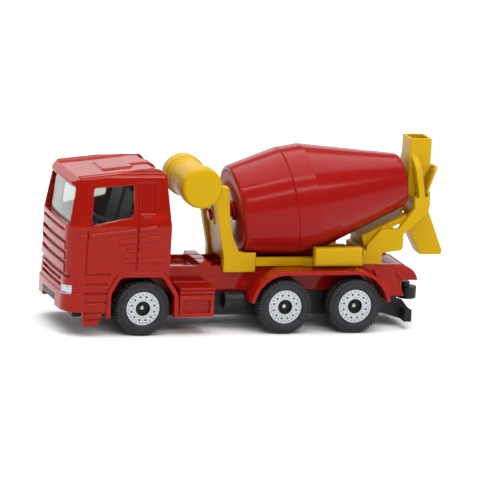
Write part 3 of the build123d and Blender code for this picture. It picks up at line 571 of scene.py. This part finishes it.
# ---------------------------------------------------------------- operators: turned pieces
class MIXER_OT_drum(bpy.types.Operator):
    """Two halves of the drum, turned about its tilted axis"""

    bl_idname = "mixer.drum"
    bl_label = "Drum"

    def execute(self, context):
        origin, axis = joint("drum_spin")
        segments = 180
        wall = 1.0
        groove = 0.16
        front_length, band_length, rear_length = 12.6, 5.6, 29.6
        front_radius, radius, rear_radius = 10.8, 13.1, 6.7
        front_pin, rear_pin, boss = 1.35, 1.6, 0.9
        front_half = [
            (-front_length - 6.2, 0),
            (-front_length - 6.2, front_pin),
            (-front_length - 0.6, front_pin),
            (-front_length - 0.6, front_pin + boss),
            (-front_length, front_pin + boss + 0.1),
            (-front_length, front_radius - 1.6),
            (-front_length, front_radius - 0.1),
            (-front_length + 1.0, front_radius + 0.18),
            (-groove, radius - 0.03),
            (0, radius - groove),
            (0, radius - wall),
            (-front_length + wall, front_radius - wall - 0.4),
            (-front_length + wall, 0),
        ]
        rear_half = [
            (rear_length + 3.4, 0),
            (rear_length + 3.4, rear_pin),
            (rear_length + 0.6, rear_pin),
            (rear_length + 0.6, rear_pin + boss),
            (rear_length, rear_pin + boss + 0.1),
            (rear_length, rear_radius - 0.6),
            (rear_length - 0.6, rear_radius - 0.1),
            (band_length, radius),
            (groove, radius),
            (0, radius - groove),
            (0, radius - wall - 0.4),
            (-1.6, radius - wall - 0.4),
            (-1.6, radius - 2 * wall - 0.4),
            (band_length, radius - 2 * wall - 0.4),
            (rear_length - wall, rear_radius - 2 * wall),
            (rear_length - wall, 0),
        ]
        front_mesh = lathed_mesh("drum_front_half", rounded(front_half, 0.5), origin, axis, segments)
        new_piece("drum_front_half", front_mesh, "drum", "drum", "plastic_red", "drum_front")
        rear_mesh = lathed_mesh("drum_rear_half", rounded(rear_half, 0.5), origin, axis, segments)
        new_piece("drum_rear_half", rear_mesh, "drum", "drum", "plastic_red", "drum_rear")
        return {"FINISHED"}


class MIXER_OT_tank(bpy.types.Operator):
    """Water tank across the truck, with its step rings and flat caps"""

    bl_idname = "mixer.tank"
    bl_label = "Water Tank"

    def execute(self, context):
        low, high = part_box("water_tank")
        half = (high.x - low.x) / 2 / MM
        radius = (high.z - low.z) / 2 / MM
        end = 4.2
        step = 0.35
        right_half = [
            (half, 0),
            (half, radius - 0.7),
            (half - 0.35, radius - 0.2),
            (half - 1.0, radius),
            (half - end, radius),
            (half - end - 0.3, radius - step),
            (half - end - 2.0, radius - step),
            (half - end - 2.3, radius - 1.6 * step),
        ]
        profile = right_half + [(-station, r) for station, r in reversed(right_half)]
        mesh = lathed_mesh("tank", rounded(profile, 0.35), centre_of("water_tank"), (1, 0, 0), 96)
        new_piece("tank", mesh, "yellow", "chassis", "plastic_yellow", "water_tank")
        return {"FINISHED"}


class MIXER_OT_axles(bpy.types.Operator):
    """Three steel axles with domed ends"""

    bl_idname = "mixer.axles"
    bl_label = "Axles"

    def execute(self, context):
        for place in AXLES:
            cad_node = f"{place}_axle"
            low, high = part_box(cad_node)
            half = (high.x - low.x) / 2 / MM
            radius = (high.z - low.z) / 2 / MM
            profile = [
                (half, 0),
                (half - 0.12, 0.55 * radius),
                (half - 0.5, radius),
                (-half + 0.5, radius),
                (-half + 0.12, 0.55 * radius),
                (-half, 0),
            ]
            piece = f"axle_{place}"
            mesh = lathed_mesh(piece, rounded(profile, 0.5), centre_of(cad_node), (1, 0, 0), 40)
            new_piece(piece, mesh, "steel", f"{place}_wheels", "steel", cad_node)
        return {"FINISHED"}


class MIXER_OT_wheels(bpy.types.Operator):
    """Six moulded wheels with a lugged tread and a pierced foil on the rim"""

    bl_idname = "mixer.wheels"
    bl_label = "Wheels"

    def tread(self, settings, profile, width):
        """How much lower the tread is at a point of the profile and a segment of the turn."""
        lug_steps = 8
        gap_steps = 3
        tread_foot = 5.55
        shoulder = 0.5
        half_groove = 0.35

        def change(index, segment):
            station, radius = profile[index]
            if radius < tread_foot:
                return 0
            row = 0 if station > 0.5 * width else 1
            place = (segment + row * lug_steps // 2) % lug_steps
            in_gap = place < gap_steps
            side_share = min(1, (radius - tread_foot) / shoulder)
            middle_groove = abs(station - 0.5 * width) < half_groove
            depth = settings.lug_depth * side_share
            return -depth if in_gap or middle_groove else 0

        return change, settings.lugs * lug_steps

    def execute(self, context):
        settings = context.scene.mixer_wheel
        low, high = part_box("wheel_front_left")
        hub_reach = 0.5
        axle_radius = 0.8
        width = (high.x - low.x) / MM - hub_reach
        radius = (high.z - low.z) / 2 / MM
        face = width
        rim_floor = face - 0.6
        hub_floor = rim_floor - 1.3
        corners = [
            (-hub_reach, axle_radius),
            (-hub_reach, 2.2),
            (1.6, 2.2),
            (1.6, 4.9),
            (0.0, 5.2),
            (0.1, radius - 0.9),
            (0.45, radius - 0.1),
            (1.0, radius),
            (0.5 * width - 0.4, radius),
            (0.5 * width - 0.3, radius),
            (0.5 * width + 0.3, radius),
            (0.5 * width + 0.4, radius),
            (face - 1.0, radius),
            (face - 0.45, radius - 0.1),
            (face - 0.2, radius - 0.6),
            (face - 0.22, radius - 0.95),
            (face - 0.3, radius - 1.02),
            (face - 0.05, radius - 1.25),
            (face, radius - 1.8),
            (face - 0.1, 4.42),
            (rim_floor, 4.08),
            (rim_floor, settings.foil_inner - 0.02),
            (hub_floor, settings.foil_inner - 0.16),
            (hub_floor, axle_radius),
        ]
        profile = rounded(corners, 0.12, 3)
        change, segments = self.tread(settings, profile, width)
        wheel = lathed_mesh("wheel", profile, (0, 0, 0), (1, 0, 0), segments, change)
        foil = self.foil_mesh(settings, rim_floor)
        for place in AXLES:
            for side in SIDES:
                cad_node = f"wheel_{place}_{side}"
                outward = 1 if side == "left" else -1
                low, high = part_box(cad_node)
                back = high.x - width * MM if outward > 0 else low.x + width * MM
                middle = centre_of(cad_node)
                turn = Matrix.Rotation(0 if outward > 0 else math.pi, 4, "Z")
                spot = Matrix.Translation((back, middle.y, middle.z)) @ turn
                for name, shared, key, slot, nodes in (
                    ("tyre", wheel, "tyre", "wheel_black", (cad_node,)),
                    ("rim_foil", foil, "foil", "silver_foil", ()),
                ):
                    mesh = shared.copy()
                    mesh.transform(spot)
                    piece = f"{name}_{place}_{side}"
                    new_piece(piece, mesh, key, f"{place}_wheels", slot, *nodes)
        return {"FINISHED"}

    def foil_mesh(self, settings, rim_floor):
        """Thin ring of foil, pierced by four rings of round holes."""
        curve = bpy.data.curves.new("foil", "CURVE")
        curve.dimensions = "2D"
        curve.fill_mode = "BOTH"
        half_thickness = 0.03
        curve.extrude = half_thickness
        curve.bevel_depth = 0.012
        # Radius of each ring, circles in it, their radius and sides, and where the first stands.
        # The first two rows are the foil's own edges.
        rows = (
            (0, 1, settings.foil_outer, 72, 0),
            (0, 1, settings.foil_inner, 48, 0),
            (2.86, settings.vents, 0.27, 12, 0.5),
            (3.55, 2 * settings.vents, 0.15, 8, 0.25),
            (3.2, settings.vents, 0.12, 8, 0),
            (2.2, 2 * settings.vents, 0.1, 8, 0.5),
        )
        for ring_radius, count, hole, sides, start in rows:
            for index in range(count):
                angle = math.tau * (index + start) / count
                centre = Vector((math.cos(angle), math.sin(angle), 0)) * ring_radius
                spline = curve.splines.new("POLY")
                spline.points.add(sides - 1)
                spline.use_cyclic_u = True
                for corner, point in enumerate(spline.points):
                    around = math.tau * corner / sides
                    offset = Vector((math.cos(around), math.sin(around), 0)) * hole
                    point.co = (*(centre + offset), 1)
        shape = bpy.data.objects.new("foil_shape", curve)
        bpy.context.scene.collection.objects.link(shape)
        graph = bpy.context.evaluated_depsgraph_get()
        mesh = bpy.data.meshes.new_from_object(shape.evaluated_get(graph))
        bpy.data.objects.remove(shape)
        mesh.transform(Matrix.Rotation(math.pi / 2, 4, "Y"))
        mesh.transform(Matrix.Translation((rim_floor + half_thickness, 0, 0)))
        mesh.transform(Matrix.Scale(MM, 4))
        return mesh


# ---------------------------------------------------------------- operators: printed lamps
class MIXER_OT_lamps(bpy.types.Operator):
    """Silver headlamps, foiled on the corners of the bumper"""

    bl_idname = "mixer.lamps"
    bl_label = "Headlamps"

    def execute(self, context):
        cab = bpy.data.objects.get("cab")
        if cab is None:
            raise RuntimeError("the lamps are printed on the cab, so the cab is made first")
        graph = context.evaluated_depsgraph_get()
        surface = BVHTree.FromObject(cab, graph)
        columns, rows = 22, 16
        for side, outward in zip(SIDES, (1, -1)):
            mesh_maker = bmesh.new()
            grid = []
            for row in range(rows + 1):
                line = []
                for column in range(columns + 1):
                    u = column / columns
                    v = row / rows
                    x = outward * (9.5 + 3.1 * u) * MM
                    z = (10.0 + 2.1 * v + 0.25 * u) * MM
                    start = Vector((x + outward * 0.02, cad_bounds[0][1] - 0.05, z))
                    aim = Vector((x, cad_bounds[0][1] + (0.4 + 2.2 * u * u) * MM, z)) - start
                    spot, normal, _, _ = surface.ray_cast(start, aim.normalized())
                    if spot is None:
                        raise RuntimeError(f"the {side} lamp misses the cab")
                    lens = math.sin(math.pi * min(1, 2 * u) if u < 0.5 else math.pi * (2 * u - 1))
                    rise = 0.05 + 0.09 * lens * math.sin(math.pi * v)
                    line.append(mesh_maker.verts.new(spot + normal * rise * MM))
                grid.append(line)
            for low, high in zip(grid, grid[1:]):
                for column in range(columns):
                    mesh_maker.faces.new((low[column], low[column + 1], high[column + 1], high[column]))
            bmesh.ops.recalc_face_normals(mesh_maker, faces=mesh_maker.faces)
            bmesh.ops.solidify(mesh_maker, geom=mesh_maker.faces[:], thickness=0.06 * MM)
            mesh = bpy.data.meshes.new(f"headlamp_{side}")
            mesh_maker.to_mesh(mesh)
            mesh_maker.free()
            new_piece(f"headlamp_{side}", mesh, "foil", "chassis", "silver_foil")
        return {"FINISHED"}


# ---------------------------------------------------------------- operators: stage
class MIXER_OT_stage(bpy.types.Operator):
    """Pale floor, soft lights and the camera"""

    bl_idname = "mixer.stage"
    bl_label = "Stage"

    def execute(self, context):
        settings = context.scene.mixer_stage
        self.floor(settings)
        self.lights()
        self.camera(context, settings)
        return {"FINISHED"}

    def floor(self, settings):
        """Large sheet of white paper."""
        mesh_maker = bmesh.new()
        bmesh.ops.create_grid(mesh_maker, x_segments=8, y_segments=8, size=4.0)
        mesh = bpy.data.meshes.new("paper_floor")
        mesh_maker.to_mesh(mesh)
        mesh_maker.free()
        mesh.materials.append(paper_sweep(settings.floor))
        floor = bpy.data.objects.new("paper_floor", mesh)
        bpy.context.scene.collection.objects.link(floor)

    def lights(self):
        """Overhead softbox, two strips over the near side, soft fills and a grey room."""
        lamps = (
            ("overhead_softbox", (-0.1, 0.05, 0.8), (1.2, 1.0), 11.3),
            ("front_softbox", (0.1, -0.95, 0.45), (0.9, 0.5), 1.6),
            ("near_strip", (0.75, 0.2, 0.52), (1.0, 0.05), 2.9),
            ("edge_strip", (0.45, -0.1, 0.75), (0.9, 0.03), 2.4),
            ("far_softbox", (-0.85, 0.05, 0.3), (1.4, 0.35), 1.7),
        )
        for name, place, (wide, high), power in lamps:
            data = bpy.data.lights.new(name, "AREA")
            data.shape = "RECTANGLE"
            data.size = wide
            data.size_y = high
            data.energy = power
            lamp = bpy.data.objects.new(name, data)
            bpy.context.scene.collection.objects.link(lamp)
            lamp.location = place
            aim = Vector((0, 0, 0.02)) - Vector(place)
            lamp.rotation_euler = aim.to_track_quat("-Z", "Y").to_euler()
        world = bpy.data.worlds.new("grey_room")
        world.use_nodes = True
        room = world.node_tree.nodes["Background"]
        room.inputs["Color"].default_value = (0.94, 0.95, 1.0, 1)
        room.inputs["Strength"].default_value = 0.2
        bpy.context.scene.world = world
        bpy.context.scene.view_settings.view_transform = "Standard"

    def camera(self, context, settings):
        """Long lens looking down on the truck from its left front."""
        low, high = cad_bounds
        target = Vector((0, -0.0018, (low[2] + high[2]) / 2 - 0.0026))
        around, up = settings.azimuth, settings.elevation
        view = Vector((-math.sin(around) * math.cos(up), math.cos(around) * math.cos(up), -math.sin(up)))
        data = bpy.data.cameras.new("camera")
        data.lens = settings.lens
        data.sensor_width = 36
        data.clip_start = 0.05
        data.clip_end = 20
        camera = bpy.data.objects.new("camera", data)
        context.scene.collection.objects.link(camera)
        camera.location = target - view * settings.distance
        level = view.to_track_quat("-Z", "Y")
        camera.rotation_mode = "QUATERNION"
        camera.rotation_quaternion = level @ Matrix.Rotation(settings.roll, 3, "Z").to_quaternion()
        context.scene.camera = camera


# ---------------------------------------------------------------- panel
OPERATORS = (
    MIXER_OT_cab,
    MIXER_OT_frame,
    MIXER_OT_mouldings,
    MIXER_OT_small_metal,
    MIXER_OT_glazing,
    MIXER_OT_drum,
    MIXER_OT_tank,
    MIXER_OT_axles,
    MIXER_OT_wheels,
    MIXER_OT_lamps,
    MIXER_OT_stage,
)

GROUPS = {
    "mixer_finish": FinishSettings,
    "mixer_casting": CastingSettings,
    "mixer_wheel": WheelSettings,
    "mixer_stage": StageSettings,
}


class MIXER_PT_panel(bpy.types.Panel):
    """Lists the toy's pieces and their settings"""

    bl_idname = "MIXER_PT_panel"
    bl_label = "Toy Cement Mixer"
    bl_space_type = "VIEW_3D"
    bl_region_type = "UI"
    bl_category = "Mixer"

    def draw(self, context):
        column = self.layout.column()
        for operator in OPERATORS:
            column.operator(operator.bl_idname)
        for label, group in GROUPS.items():
            settings = getattr(context.scene, label)
            for name in group.__annotations__:
                column.prop(settings, name)


def register():
    """Registers the settings, the operators and the panel."""
    for label, group in GROUPS.items():
        bpy.utils.register_class(group)
        setattr(bpy.types.Scene, label, PointerProperty(type=group))
    for operator in OPERATORS:
        bpy.utils.register_class(operator)
    bpy.utils.register_class(MIXER_PT_panel)


def unregister():
    """Takes the panel, the operators and the settings away again."""
    bpy.utils.unregister_class(MIXER_PT_panel)
    for operator in reversed(OPERATORS):
        bpy.utils.unregister_class(operator)
    for label, group in reversed(GROUPS.items()):
        delattr(bpy.types.Scene, label)
        bpy.utils.unregister_class(group)


def main():
    """Builds every piece and the stage."""
    register()
    bpy.ops.mixer.cab()
    bpy.ops.mixer.frame()
    bpy.ops.mixer.mouldings()
    bpy.ops.mixer.small_metal()
    bpy.ops.mixer.glazing()
    bpy.ops.mixer.drum()
    bpy.ops.mixer.tank()
    bpy.ops.mixer.axles()
    bpy.ops.mixer.wheels()
    bpy.ops.mixer.lamps()
    bpy.ops.mixer.stage()


if __name__ == "__main__":
    main()
